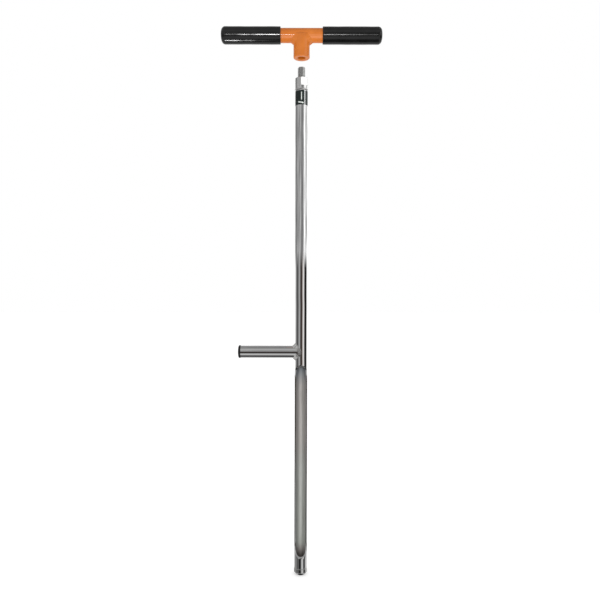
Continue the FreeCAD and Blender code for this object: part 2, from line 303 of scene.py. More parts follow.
# plated steel of four kinds
platings = {
    "platedTube": {"grey": (0.80, 0.80, 0.80), "rough": 0.02, "spread": 0.045},
    "platedTip": {"grey": (0.74, 0.74, 0.73), "rough": 0.06, "spread": 0.06},
    "platedCollar": {"grey": (0.84, 0.84, 0.83), "rough": 0.11, "spread": 0.09},
    "studSteel": {"grey": (0.66, 0.66, 0.65), "rough": 0.20, "spread": 0.09},
}
drawnShare = 0.35  # how much of the roughness follows the lines left by drawing the tube


def platedChrome(name):
    look = platings[name]
    grey, rough = look["grey"], look["rough"]
    finish = Finish(name)
    finish.setShader(Metallic=1.0, IOR=2.6)
    drawn = finish.noise(900, 5, 0.65, (1, 1, 0.012))
    cloud = finish.noise(38, 3, 0.5)
    pits = finish.noise(2600, 2, 0.5)
    finish.feed("Base Color", finish.shift(cloud, tuple(c * 0.93 for c in grey), grey))
    blend = finish.maths("MULTIPLY", drawn, drawnShare)
    blend = finish.maths("ADD", blend, finish.maths("MULTIPLY", cloud, 1 - drawnShare))
    finish.feed("Roughness", finish.ramp(blend, [(0.32, rough), (0.72, rough + look["spread"])]))
    fine = finish.bump(drawn, 0.05, 0.02 * mm)
    finish.feed("Normal", finish.bump(pits, 0.03, 0.02 * mm, fine))
    return finish.material


# the window's sizes are also used by the finish of the bore
tubeSizes = {
    "windowStart": 18.0 * mm,
    "windowLength": 314.8 * mm,
    "windowPastAxis": 0.5 * mm,
    "windowCutter": 30.0 * mm,  # radius of the milling cutter
    "edgeRound": 0.25 * mm,
    "endRound": 0.3 * mm,
    "endPlain": 4.0 * mm,  # rings start this far from the ends
    "boreEdge": 0.3 * mm,  # faces this near the bore are its own
    "ringSpacing": 6.0 * mm,
    "weldPrep": 1.1 * mm,
    "prepRound": 0.2 * mm,
    "segments": 144,
}

boreSizes = {
    "radius": 8.3 * mm,
    "tonesTop": 360.0 * mm,
    # painted shade: the bore darkens towards both ends of the window; between them its tone varies a little
    "heightToneAndShade": [
        (0.052, (0.10, 0.09, 0.085)), (0.066, (0.34, 0.31, 0.29)), (0.10, (0.62, 0.58, 0.555)),
        (0.13, (0.66, 0.685, 0.64)), (0.50, (0.68, 0.69, 0.655)), (0.60, (0.70, 0.67, 0.64)),
        (0.86, (0.67, 0.64, 0.62)), (0.92, (0.46, 0.49, 0.52)), (0.955, (0.36, 0.40, 0.44)),
    ],
    "soil": (0.20, 0.17, 0.13),
    # painted shade from one side of the bore to the other: darker at the sides, lighter in the middle of the
    # hollow
    "paintedSideShade": [
        (0.0, 0.30), (0.125, 0.46), (0.25, 0.54), (0.35, 0.84), (0.45, 1.0), (0.575, 1.0),
        (0.675, 0.67), (0.80, 0.60), (0.90, 0.51), (1.0, 0.52),
    ],
    # how far the edge of the painted side shade wavers
    "waver": 0.10,
    "archDepth": 12.0 * mm,
    "archShade": [(0.42, 1.0), (0.60, 0.82), (0.72, 0.34), (0.82, 0.05)],
    "specular": 0.4,
}


def cutterRunOut():
    # height in which the cutter climbs out of the tube at each end of the window
    turn = tubeSizes["windowCutter"]
    return math.sqrt(turn**2 - (turn - shaft["radius"] - tubeSizes["windowPastAxis"]) ** 2)


def archNearness(finish, x, z):
    # 0 well below the window's upper arch, 1 at the arch; the arch is the cutter's run-out on the tube
    turn, deep = tubeSizes["windowCutter"], tubeSizes["windowPastAxis"]
    outer = shaft["radius"]
    top = shaft["bottom"] + tubeSizes["windowStart"] + tubeSizes["windowLength"]
    across = finish.maths("MINIMUM", finish.maths("MULTIPLY", x, x), outer**2)
    reach = finish.maths("SQRT", finish.maths("SUBTRACT", outer**2, across))
    arm = finish.maths("SUBTRACT", turn - deep, reach)
    arch = finish.maths("SQRT", finish.maths("SUBTRACT", turn**2, finish.maths("MULTIPLY", arm, arm)))
    below = finish.maths("SUBTRACT", finish.maths("ADD", arch, top - cutterRunOut()), z)
    return finish.maths("SUBTRACT", 1.0, finish.maths("DIVIDE", below, boreSizes["archDepth"]), clamp=True)


def milledSatin(name):
    # bare bore of the tube: duller, with patches of soil; painted shade darkens it towards the window's ends,
    # towards its sides and under its upper arch
    sizes = boreSizes
    finish = Finish(name)
    finish.setShader(Metallic=0.3)
    x, _, z = finish.axes()
    # colour by height, with painted shade at both ends of the window
    height = finish.maths("MULTIPLY", z, 1 / sizes["tonesTop"], clamp=True)
    tone = finish.ramp(height, sizes["heightToneAndShade"])
    soilAndShadeNoise = finish.noise(160, 6, 0.7, (1, 1, 0.10))
    lines = finish.noise(1500, 3, 0.6, (1, 1, 0.02))
    tone = finish.mix(finish.ramp(soilAndShadeNoise, [(0.45, 0.0), (0.75, 0.35)]), tone, sizes["soil"])
    # painted shade across the bore, its edge wavering with the same noise that places the soil
    waver = finish.maths("MULTIPLY", finish.maths("SUBTRACT", soilAndShadeNoise, 0.5), sizes["waver"])
    side = finish.maths("ADD", finish.maths("MULTIPLY", x, 0.5 / sizes["radius"]), waver)
    side = finish.maths("ADD", side, 0.5, clamp=True)
    tone = finish.mix(1.0, tone, finish.ramp(side, sizes["paintedSideShade"]), "MULTIPLY")
    shadow = finish.ramp(archNearness(finish, x, z), sizes["archShade"])
    finish.feed("Base Color", finish.mix(1.0, tone, shadow, "MULTIPLY"))
    finish.feed("Specular IOR Level", finish.maths("MULTIPLY", shadow, sizes["specular"]))
    finish.feed("Roughness", finish.shift(soilAndShadeNoise, 0.42, 0.58))
    finish.feed("Normal", finish.bump(lines, 0.12, 0.03 * mm))
    return finish.material


coatLook = {"deep": (0.53, 0.137, 0.012), "bright": (0.62, 0.172, 0.017), "worn": (0.30, 0.11, 0.04)}


def powderCoat():
    finish = Finish("orangePowderCoat")
    finish.setShader(Coat_Weight=0.25, Coat_Roughness=0.10, Specular_IOR_Level=0.35)
    cloud = finish.noise(55, 3, 0.5)
    peel = finish.noise(900, 2, 0.4)
    speck = finish.noise(420, 5, 0.75)
    tone = finish.shift(cloud, coatLook["deep"], coatLook["bright"])
    specks = finish.ramp(speck, [(0.52, 0.0), (0.66, 1.0)])
    worn = finish.maths("MULTIPLY", finish.wear(0.53, 0.60), specks)
    tone = finish.mix(finish.maths("MULTIPLY", worn, 0.5), tone, coatLook["worn"])
    finish.feed("Base Color", tone)
    finish.feed("Roughness", finish.shift(cloud, 0.30, 0.40))
    finish.feed("Normal", finish.bump(peel, 0.10, 0.05 * mm))
    return finish.material


vinylLook = {"deep": 0.004, "pale": 0.008, "dust": (0.10, 0.095, 0.09)}


def dippedVinyl():
    finish = Finish("blackVinyl")
    finish.setShader(Specular_IOR_Level=0.5)
    cloud = finish.noise(70, 4, 0.55)
    grain = finish.noise(1500, 3, 0.5)
    dust = finish.noise(300, 7, 0.8)
    tone = finish.shift(cloud, vinylLook["deep"], vinylLook["pale"])
    tone = finish.mix(finish.ramp(dust, [(0.62, 0.0), (0.80, 0.10)]), tone, vinylLook["dust"])
    finish.feed("Base Color", tone)
    finish.feed("Roughness", finish.shift(cloud, 0.13, 0.20))
    fine = finish.bump(cloud, 0.10, 0.15 * mm)
    finish.feed("Normal", finish.bump(grain, 0.06, 0.03 * mm, fine))
    return finish.material


def mouldedPlastic():
    finish = Finish("blackMouldedPlastic")
    finish.setShader(Specular_IOR_Level=0.2)
    grain = finish.noise(2400, 3, 0.6)
    cloud = finish.noise(120, 3, 0.5)
    finish.feed("Base Color", finish.shift(cloud, 0.010, 0.018))
    finish.feed("Roughness", finish.shift(cloud, 0.42, 0.55))
    finish.feed("Normal", finish.bump(grain, 0.15, 0.04 * mm))
    return finish.material


def weldMetal():
    finish = Finish("platedWeld")
    finish.setShader(Metallic=1.0)
    heat = finish.noise(260, 4, 0.6)
    grit = finish.noise(1400, 4, 0.6)
    finish.feed("Base Color", finish.shift(heat, (0.62, 0.61, 0.60), (0.82, 0.82, 0.81)))
    finish.feed("Roughness", finish.shift(grit, 0.03, 0.10))
    finish.feed("Normal", finish.bump(grit, 0.05, 0.05 * mm))
    return finish.material


chrome = platedChrome("platedTube")
tipChrome = platedChrome("platedTip")
collarChrome = platedChrome("platedCollar")
studSteel = platedChrome("studSteel")
satin = milledSatin("boreSatin")
orange = powderCoat()
vinyl = dippedVinyl()
plastic = mouldedPlastic()
weld = weldMetal()
print("finishes made")


# probe tube with its sampling window
def makeProbeTube():
    sizes = tubeSizes
    outer = shaft["radius"]
    inner = outer - shaft["wall"]
    low, high = shaft["bottom"], shaft["top"]
    plain, spacing = sizes["endPlain"], sizes["ringSpacing"]
    outline = [(outer, low, sizes["endRound"])]
    outline += [(outer, z) for z in np.arange(low + plain, high - plain, spacing)]
    outline += [
        (outer, high - sizes["weldPrep"], sizes["prepRound"]),
        (outer - sizes["weldPrep"], high),
        (inner, high),
    ]
    outline += [(inner, z) for z in np.arange(high - plain, low + plain, -spacing)]
    outline += [(inner, low)]

    def bore(first, second):
        return 1 if max(first[0], second[0]) < inner + sizes["boreEdge"] else 0

    tube = lathe("probeTube", outline, [chrome, satin], sizes["segments"], closed=True, mark=bore)
    cutter = windowCutter(outer)
    boolean = tube.modifiers.new("window", "BOOLEAN")
    boolean.object = cutter
    boolean.operation = "DIFFERENCE"
    boolean.solver = "EXACT"
    applyModifiers(tube)
    bpy.data.objects.remove(cutter)
    roundOpening(tube)
    finishPiece(tube, "shaft", "probe_tube")


def windowCutter(outer):
    # a round cutter runs in from the front at both ends, so the window's ends are arched
    sizes = tubeSizes
    bottom = shaft["bottom"] + sizes["windowStart"]
    top = bottom + sizes["windowLength"]
    turn = sizes["windowCutter"]
    middle = sizes["windowPastAxis"] - turn
    runOut = cutterRunOut()
    angles = np.linspace(0, math.pi / 2, 37)
    side = [(middle + turn * math.sin(a), bottom + runOut - turn * math.cos(a)) for a in angles]
    side += [(middle + turn * math.cos(a), top - runOut + turn * math.sin(a)) for a in angles]
    count = len(side)
    points = [Vector((x, y, z)) for x in (-2 * outer, 2 * outer) for y, z in side]
    faces = [list(range(count)), list(range(2 * count - 1, count - 1, -1))]
    for number in range(count):
        following = (number + 1) % count
        faces.append([number, number + count, following + count, following])
    return meshFrom("windowCutter", points, faces, [])


def applyModifiers(piece):
    shown = bpy.context.evaluated_depsgraph_get()
    mesh = bpy.data.meshes.new_from_object(piece.evaluated_get(shown))
    old = piece.data
    piece.modifiers.clear()
    piece.data = mesh
    bpy.data.meshes.remove(old)


def roundOpening(tube):
    # a small bevel on the cut edges only, which are all well away from the tube's ends
    low, high = shaft["bottom"] + 10 * mm, shaft["top"] - 30 * mm
    cutAngle = math.radians(30)
    cut = bmesh.new()
    cut.from_mesh(tube.data)
    edges = []
    for edge in cut.edges:
        if len(edge.link_faces) != 2 or edge.calc_face_angle(0) < cutAngle:
            continue
        middle = (edge.verts[0].co + edge.verts[1].co) / 2
        if low < middle.z < high:
            edges.append(edge)
    bmesh.ops.bevel(
        cut, geom=edges, offset=tubeSizes["edgeRound"], segments=2, profile=0.5,
        affect="EDGES", clamp_overlap=True,
    )
    cut.to_mesh(tube.data)
    cut.free()
    tube.data.shade_smooth()
    tube.data.set_sharp_from_angle(angle=math.radians(sharpAngle))


makeProbeTube()


# cutting tip: a bevelled ring with a keen edge and a spigot in the tube
tipSizes = {
    "bore": 7.75 * mm,
    "edge": 8.05 * mm,
    "keenRound": 0.08 * mm,
    "edgeRound": 0.12 * mm,
    "bevel": 4.1 * mm,
    "bevelRound": 0.8 * mm,
    "shoulder": 0.35 * mm,
    "shoulderRound": 0.15 * mm,
    "spigot": 9.0 * mm,
    "boreEdge": 0.05 * mm,
}


def makeTip():
    sizes = tipSizes
    outer = radiusOf("cutting_tip")
    low, high = span("cutting_tip")
    seat = shaft["bottom"]
    outline = [
        (sizes["bore"], low, sizes["keenRound"]),
        (sizes["edge"], low, sizes["edgeRound"]),
        (outer, sizes["bevel"], sizes["bevelRound"]),
        (outer, seat - sizes["shoulder"], sizes["shoulderRound"]),
        (outer - sizes["shoulder"], seat, sizes["edgeRound"]),
        (sizes["spigot"], seat),
        (sizes["spigot"], high),
        (sizes["bore"], high),
    ]

    def bore(first, second):
        return 1 if max(first[0], second[0]) < sizes["bore"] + sizes["boreEdge"] else 0

    tip = lathe("cuttingTip", outline, [tipChrome, satin], tubeSizes["segments"], closed=True, mark=bore)
    finishPiece(tip, "shaft", "cutting_tip")


makeTip()


# collar with two wrench flats
collarSizes = {
    "radius": radiusOf("top_collar"),
    "flatsAcross": 17.4 * mm,
    "flatsLength": 13.4 * mm,
    "turn": math.radians(31),
    "bore": 6.38 * mm,
    "boreDepth": 3.0 * mm,
    "boreRound": 0.1 * mm,
    "chamfer": 1.0 * mm,
    "chamferRounds": (0.35 * mm, 0.3 * mm),
    "ledgeRise": 0.25 * mm,
    "ledgeFall": 0.35 * mm,
    "rings": 8,
    "segments": 192,
}


def makeCollar():
    sizes = collarSizes
    radius = sizes["radius"]
    low, top = shaft["top"], span("top_collar")[1]
    bottom = span("top_collar")[0]
    inner = shaft["radius"] - shaft["wall"]
    prep = tubeSizes["weldPrep"]
    ledge = top - sizes["flatsLength"]
    floor = top - sizes["boreDepth"]
    lowRound, highRound = sizes["chamferRounds"]
    outline = [(0, bottom), (inner, bottom), (inner, low), (shaft["radius"] - prep, low)]
    outline += [(radius, low + prep, tubeSizes["prepRound"])]
    outline += [(radius, ledge - sizes["ledgeFall"]), (radius, ledge), (radius, ledge + sizes["ledgeRise"])]
    outline += [(radius, z) for z in np.linspace(ledge + 1 * mm, top - 2 * mm, sizes["rings"])]
    outline += [
        (radius, top - sizes["chamfer"], lowRound),
        (radius - sizes["chamfer"], top, highRound),
        (sizes["bore"], top, sizes["boreRound"]),
        (sizes["bore"], floor),
        (0, floor),
    ]
    half = sizes["flatsAcross"] / 2
    swing = Matrix.Rotation(sizes["turn"], 4, "Z")

    def flatten(point):
        if point.z > ledge + sizes["ledgeRise"] / 2:
            point = Vector((point.x, max(-half, min(half, point.y)), point.z))
        return swing @ point

    collar = lathe("topCollar", outline, [collarChrome], sizes["segments"], reshape=flatten)
    finishPiece(collar, "shaft", "top_collar")


makeCollar()


# stud with a right-hand thread, its grid following the helix
studSizes = {
    "major": 6.35 * mm,
    "pitch": 1.9538 * mm,
    "depth": 1.1985 * mm,
    "rootRise": 0.08 * mm,
    "crestFall": 0.10 * mm,
    "chamfer": 1.2 * mm,
    "hidden": 2.5 * mm,
    "around": 96,
    "sharp": 50,
}


def makeStud():
    sizes = studSizes
    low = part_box("top_collar")[1].z - sizes["hidden"]
    top = span("threaded_stud")[1]
    major, pitch = sizes["major"], sizes["pitch"]
    root = major - sizes["depth"]
    foot, brow = root + sizes["rootRise"], major - sizes["crestFall"]
    # one pitch of the thread: (share of the pitch, radius)
    form = [
        (0.0, root), (0.07, root), (0.10, foot), (0.39, brow), (0.42, major),
        (0.58, major), (0.61, brow), (0.90, foot), (0.93, root),
    ]
    around = sizes["around"]
    turns = math.ceil((top - low) / pitch) + 2
    rows = [(low + (turn - 1 + share) * pitch, radius) for turn in range(turns) for share, radius in form]
    points = []
    for base, radius in rows:
        for number in range(around + 1):
            angle = 2 * math.pi * number / around
            height = min(max(base + pitch * number / around, low), top)
            reach = min(radius, major - sizes["chamfer"] + (top - height))
            reach = max(reach, root) if height > low else root
            points.append(onRing(reach, angle, height))
    width = around + 1
    faces = []
    for row in range(len(rows) - 1):
        for number in range(around):
            first = row * width + number
            faces.append([first, first + 1, first + 1 + width, first + width])
    for height in (low, top):
        faces.append(list(range(len(points), len(points) + around)))
        points += [onRing(root, 2 * math.pi * number / around, height) for number in range(around)]
    stud = meshFrom("threadedStud", points, faces, [studSteel], sharp=sizes["sharp"])
    finishPiece(stud, "shaft", "threaded_stud")


makeStud()


# ring weld under the collar
ringSizes = {
    "inside": 0.4 * mm,
    "lift": 0.1 * mm,
    "crown": 0.50 * mm,
    "flare": 0.15 * mm,
    "ripples": 46,
    "rippleHeight": 0.10 * mm,
    "lumps": 5,
    "lumpHeight": 0.12 * mm,
    "rings": 9,
    "segments": 240,
}


def makeRingWeld():
    sizes = ringSizes
    low, high = span("collar_weld")
    centre = shaft["top"]
    radius = shaft["radius"]
    outline = [(radius - sizes["inside"], low)]
    for share in np.linspace(0, 1, sizes["rings"]):
        crown = sizes["crown"] * math.sin(math.pi * share)
        outline.append((radius + sizes["lift"] + crown + sizes["flare"] * share, low + (high - low) * share))
    outline += [(radius - sizes["inside"], high)]

    def ripple(point):
        angle = math.atan2(point.x, -point.y)
        wave = sizes["rippleHeight"] * math.sin(sizes["ripples"] * angle + 3 * math.sin(2 * angle))
        wave += sizes["lumpHeight"] * math.sin(sizes["lumps"] * angle + 1)
        outward = Vector((point.x, point.y, 0)).normalized()
        near = max(0.0, 1 - abs(point.z - centre) / (high - centre))
        return point + outward * wave * near

    ring = lathe("collarWeld", outline, [weld], sizes["segments"], closed=True, reshape=ripple)
    finishPiece(ring, "shaft", "collar_weld")


makeRingWeld()


# printed band, open by a few degrees at the back
bandSizes = {
    "span": math.radians(344),
    "thickness": 0.15 * mm,
    "gap": 0.03 * mm,
    "edge": 0.05 * mm,
    "steps": 120,
    "green": ((0.0015, 0.006, 0.005), (0.003, 0.012, 0.010)),
    "print": (0.70, 0.74, 0.70),
    # plain bars: left and right as angles, bottom and top as shares of the height, lean
    "bars": [(-0.07, 0.07, 0.34, 0.88, 0.0), (-0.55, 0.30, 0.10, 0.19, 0.09)],
}


def bandFilm(low, high):
    # dark green printed film
    finish = Finish("printedBand")
    finish.setShader(Coat_Weight=0.5, Coat_Roughness=0.06, Specular_IOR_Level=0.25)
    x, y, z = finish.axes()
    angle = finish.maths("ARCTAN2", x, finish.maths("MULTIPLY", y, -1.0))
    height = finish.maths("DIVIDE", finish.maths("SUBTRACT", z, low), high - low)
    cloud = finish.noise(140, 4, 0.6)
    scuff = finish.noise(700, 6, 0.7, (1, 1, 0.4))
    marks = 0.0
    for left, right, bottom, top, lean in bandSizes["bars"]:
        leaned = finish.maths("ADD", height, finish.maths("MULTIPLY", angle, lean))
        inside = finish.maths("GREATER_THAN", angle, left)
        for operation, value, edge in (
            ("LESS_THAN", angle, right), ("GREATER_THAN", leaned, bottom), ("LESS_THAN", leaned, top),
        ):
            inside = finish.maths("MULTIPLY", inside, finish.maths(operation, value, edge))
        marks = finish.maths("MAXIMUM", marks, inside)
    ground = finish.shift(cloud, *bandSizes["green"])
    scuffed = finish.maths("MULTIPLY", marks, finish.ramp(scuff, [(0.30, 0.55), (0.55, 0.95)]))
    finish.feed("Base Color", finish.mix(scuffed, ground, bandSizes["print"]))
    finish.feed("Roughness", finish.shift(scuff, 0.16, 0.30))
    finish.feed("Normal", finish.bump(cloud, 0.05, 0.05 * mm))
    return finish.material


def makeBand():
    sizes = bandSizes
    low, high = span("label_band")
    film = bandFilm(low, high)
    inner = shaft["radius"] + sizes["gap"]
    outer = inner + sizes["thickness"]
    count = sizes["steps"]
    section = [(inner, low), (outer, low + sizes["edge"]), (outer, high - sizes["edge"]), (inner, high)]
    points = []
    for number in range(count + 1):
        angle = sizes["span"] * (number / count - 0.5)
        points += [onRing(radius, angle, height) for radius, height in section]
    faces = [[0, 1, 2, 3], [4 * count + corner for corner in (3, 2, 1, 0)]]
    for number in range(count):
        here = 4 * number
        for corner in range(4):
            following = (corner + 1) % 4
            faces.append([here + corner, here + following, here + 4 + following, here + 4 + corner])
    band = meshFrom("printedBand", points, faces, [film])
    finishPiece(band, "shaft", "label_band")


makeBand()


# foot step: coped tube, plug and weld
stepSizes = {
    "wall": 1.8 * mm,
    "outerRound": 0.25 * mm,
    "innerRound": 0.2 * mm,
    "ringSpacing": 4.0 * mm,
    "plainFrom": -14.0 * mm,  # no rings from here to the shaft
    "copeFrom": -4.0 * mm,
    "copeShare": 0.2,
}


def makeStepTube():
    sizes = stepSizes
    radius = step["radius"]
    inner = radius - sizes["wall"]
    end = step["end"]
    spacing = sizes["ringSpacing"]
    root = -radius * sizes["copeShare"]
    outline = [(radius, end, sizes["outerRound"])]
    outline += [(radius, x) for x in np.arange(end + spacing, sizes["plainFrom"], spacing)]
    outline += [(radius, root), (inner, root), (inner, end, sizes["innerRound"])]

    def cope(point):
        if point.x > sizes["copeFrom"]:
            reach = max(shaft["radius"] ** 2 - point.y**2, 0.0)
            point = Vector((-math.sqrt(reach), point.y, point.z))
        return point + Vector((0, 0, step["axis"]))

    tube = lathe("stepTube", outline, [chrome], axis="x", closed=True, reshape=cope)
    finishPiece(tube, "shaft", "step_tube")


plugSizes = {
    "head": 3.2 * mm,
    "crown": 1.3 * mm,
    "crownFlat": 0.9,
    "inset": 0.2 * mm,
    "edgeRound": 0.9 * mm,
    "lip": 1.4 * mm,  # thin skirt over the tube's end
    "lipThickness": 0.15 * mm,
    "lipGap": 0.02 * mm,
    "lipRound": 0.05 * mm,
    "barrel": 7.9 * mm,
    "length": 14.0 * mm,
    "ribs": 3,
    "firstRib": 1.8 * mm,
    "ribSpacing": 3.6 * mm,
    "ribHeight": 0.5 * mm,
    "segments": 96,
}


def makeStepPlug():
    sizes = plugSizes
    seat = step["end"]
    face = seat - sizes["head"]
    radius = step["radius"] + sizes["lipThickness"]
    inside = step["radius"] + sizes["lipGap"]
    barrel, rib = sizes["barrel"], sizes["ribHeight"]
    outline = [(0, face)]
    for share in (0.25, 0.5, 0.75):
        outline.append((radius * share, face + sizes["crown"] * share**2 * sizes["crownFlat"]))
    outline += [
        (radius, face + sizes["crown"] + sizes["inset"], sizes["edgeRound"]),
        (radius, seat + sizes["lip"], sizes["lipRound"]),
        (inside, seat + sizes["lip"]),
        (inside, seat),
        (barrel, seat),
    ]
    for number in range(sizes["ribs"]):
        foot = seat + sizes["firstRib"] + sizes["ribSpacing"] * number
        outline += [(barrel, foot), (barrel + rib, foot + rib), (barrel, foot + 2 * rib)]
    outline += [(barrel, seat + sizes["length"]), (0, seat + sizes["length"])]
    lift = placed(step["axis"])
    plug = lathe("stepEndPlug", outline, [plastic], sizes["segments"], axis="x", reshape=lift)
    finishPiece(plug, "shaft", "step_end_plug")


weldHabits = {
    "nudge": 0.02 * mm,  # for measuring a slope
    "pulls": 5,  # times that a point is drawn to its height
    "under": 0.6 * mm,  # closed this far inside the tubes
    "bow": 0.35,  # how much the ripples bow
    "wander": [(0.08, 0.53, 1), (0.05, 0.83, 2)],  # waves in the width: (share, rate, phase)
    "sharp": 60,
}


def weldSkin(name, joint, surfaces, radius, sizes, finishes, move):
    # a grid along the joint line, lifted off the smooth union of the two surfaces
    # and narrowed where they run together
    habits = weldHabits

    def narrow(point):
        return max(1 - (point.y / radius) ** 2, sizes["pinch"]) ** sizes["pinchPower"]

    def smoothUnion(point):
        first, second = (distance(point) for distance in surfaces)
        soft = sizes["soft"] * narrow(point)
        share = max(soft - abs(first - second), 0.0) / soft
        return min(first, second) - share * share * soft / 4

    def slope(point):
        nudge = habits["nudge"]
        grad = Vector((0, 0, 0))
        for axis in range(3):
            shift = Vector((0, 0, 0))
            shift[axis] = nudge
            grad[axis] = (smoothUnion(point + shift) - smoothUnion(point - shift)) / (2 * nudge)
        return grad

    along, across = sizes["along"], sizes["across"]
    line = [joint(2 * math.pi * number / along) for number in range(along)]
    points = []
    travelled = 0.0
    for index, centre in enumerate(line):
        ahead = line[(index + 1) % along]
        tangent = (ahead - line[index - 1]).normalized()
        travelled += (ahead - centre).length
        outward = slope(centre).normalized()
        sideways = tangent.cross(outward).normalized()
        beat = travelled / sizes["ripple"]
        wander = 1.0
        for share, rate, phase in habits["wander"]:
            wander += share * math.sin(rate * beat + phase)
        wander *= narrow(centre)
        for number in range(across + 1):
            share = 2 * number / across - 1
            point = centre + sideways * share * sizes["half"] * wander
            crest = 1 - share * share
            wave = math.sin(2 * math.pi * (beat + habits["bow"] * share * share))
            target = sizes["height"] * wander * crest + sizes["rippleHeight"] * wave * crest - sizes["sink"]
            for _ in range(habits["pulls"]):
                grad = slope(point)
                point = point - grad * ((smoothUnion(point) - target) / max(grad.length_squared, tiny))
            points.append(point)
    width = across + 1
    faces = []
    for row in range(along):
        following = (row + 1) % along
        for number in range(across):
            first, second = row * width + number, following * width + number
            faces.append([first, first + 1, second + 1, second])
    below = len(points)
    for row in range(along):
        for number in (0, across):
            top = points[row * width + number]
            points.append(top - slope(top).normalized() * habits["under"])
    for row in range(along):
        following = (row + 1) % along
        here, ahead = below + 2 * row, below + 2 * following
        faces.append([row * width, following * width, ahead, here])
        faces.append([row * width + across, here + 1, ahead + 1, following * width + across])
        faces.append([here, ahead, ahead + 1, here + 1])
    return meshFrom(name, [move(point) for point in points], faces, finishes, sharp=habits["sharp"])


stepWeldSizes = {
    "along": 360,
    "across": 28,
    "half": 6.6 * mm,
    "height": 0.38 * mm,
    "soft": 5.2 * mm,
    "ripple": 1.6 * mm,
    "rippleHeight": 0.10 * mm,
    "sink": 0.06 * mm,
    "pinch": 0.03,
    "pinchPower": 0.3,
    "lineShare": 0.985,  # of the thinner tube's radius
    "rootDepth": 2.0 * mm,
}


def makeStepWeld():
    sizes = stepWeldSizes
    radius = shaft["radius"]
    level = step["radius"]
    line = sizes["lineShare"] * min(radius, level)

    def joint(angle):
        depth = line * math.cos(angle)
        return Vector((-math.sqrt(radius**2 - depth**2), depth, line * math.sin(angle)))

    surfaces = (
        lambda p: math.hypot(p.x, p.y) - radius,
        lambda p: max(math.hypot(p.y, p.z) - level, p.x - sizes["rootDepth"]),
    )
    bead = weldSkin("stepWeld", joint, surfaces, radius, sizes, [weld], placed(step["axis"]))
    finishPiece(bead, "shaft", "step_weld")


makeStepTube()
makeStepPlug()
makeStepWeld()


# cross handle
barSizes = {
    "wall": 2.0 * mm,
    "innerRound": 0.2 * mm,
    "outerRound": 0.3 * mm,
    "overlap": 4.0 * mm,
    "rings": 40,
}
onHandle = placed(handle["axis"])


def makeBar():
    sizes = barSizes
    radius, half = handle["barRadius"], handle["barHalf"]
    inner = radius - sizes["wall"]
    bare = handle["exposed"] + sizes["overlap"]
    outline = [(inner, -half, sizes["innerRound"]), (radius, -half, sizes["outerRound"])]
    outline += [(radius, x) for x in np.linspace(-bare, bare, sizes["rings"])]
    outline += [(radius, half, sizes["outerRound"]), (inner, half, sizes["innerRound"])]
    bar = lathe("handleBar", outline, [orange], axis="x", closed=True, reshape=onHandle)
    finishPiece(bar, "handle", "handle_bar")


socketSizes = {
    "bore": 6.41 * mm,
    "boreDepth": 22.0 * mm,
    "chamfer": 1.0 * mm,
    "outerRound": 0.4 * mm,
    "boreRound": 0.2 * mm,
    "floorRound": 0.3 * mm,
    "sunkInBar": 0.1 * mm,
    "ringsFrom": 3.0 * mm,
    "plainTop": 16.0 * mm,  # no rings this close to the bar
    "rings": 6,
    "segments": 192,
}


def underBar(bar, depth, top):
    # height of the bar's underside at this depth, or the top beside the bar
    reach = bar**2 - depth**2
    return -math.sqrt(reach) if reach > 0 else top


def makeSocket():
    sizes = socketSizes
    radius = handle["socketRadius"]
    bar = handle["barRadius"] - sizes["sunkInBar"]
    low = handle["socketBottom"] - handle["axis"]
    top = span("handle_socket")[1] - handle["axis"]
    bore, chamfer = sizes["bore"], sizes["chamfer"]
    deep = low + sizes["boreDepth"]
    outline = [
        (0, deep),
        (bore, deep, sizes["floorRound"]),
        (bore, low + chamfer, sizes["boreRound"]),
        (bore + chamfer, low, sizes["boreRound"]),
        (radius - chamfer, low, sizes["outerRound"]),
        (radius, low + chamfer, sizes["outerRound"]),
    ]
    rings = np.linspace(low + sizes["ringsFrom"], top - sizes["plainTop"], sizes["rings"])
    outline += [(radius, z) for z in rings]
    outline += [(radius, top), (bore + chamfer / 2, top), (0, top)]

    def cradle(point):
        if point.z > top - tiny:
            # fish-mouth cut: the top follows the underside of the bar
            height = underBar(bar, point.y, top)
            if math.hypot(point.x, point.y) > radius - tiny and abs(point.y) > bar:
                height = top
            point = Vector((point.x, point.y, min(height, top)))
        return onHandle(point)

    socket = lathe("handleSocket", outline, [orange], sizes["segments"], reshape=cradle)
    finishPiece(socket, "handle", "handle_socket")


socketWeldSizes = {
    "along": 300,
    "across": 24,
    "half": 7.4 * mm,
    "height": 0.22 * mm,
    "soft": 5.2 * mm,
    "ripple": 2.4 * mm,
    "rippleHeight": 0.08 * mm,
    "sink": 0.06 * mm,
    "pinch": 0.16,
    "pinchPower": 0.5,
    "lineRise": 0.5 * mm,
}


def makeSocketWeld():
    sizes = socketWeldSizes
    radius = handle["socketRadius"]
    bar = handle["barRadius"]
    top = span("handle_socket")[1] - handle["axis"]

    def joint(angle):
        x, depth = radius * math.cos(angle), radius * math.sin(angle)
        return Vector((x, depth, min(underBar(bar, depth, top) + sizes["lineRise"], top)))

    surfaces = (
        lambda p: math.hypot(p.y, p.z) - bar,
        lambda p: max(math.hypot(p.x, p.y) - radius, p.z - top),
    )
    bead = weldSkin("socketWeld", joint, surfaces, radius, sizes, [orange], onHandle)
    finishPiece(bead, "handle", "socket_weld")


gripSizes = {
    "end": 4.0 * mm,
    "corner": 6.9 * mm,
    "dome": 40.0 * mm,
    "mouth": 0.9 * mm,
    "boreRound": 0.2 * mm,
    "seatGap": 0.03 * mm,
    "ringSpacing": 3.0 * mm,
    "waves": [(0.05 * mm, 90, 1), (0.04 * mm, 230, 2)],  # dipped vinyl is never quite straight
}


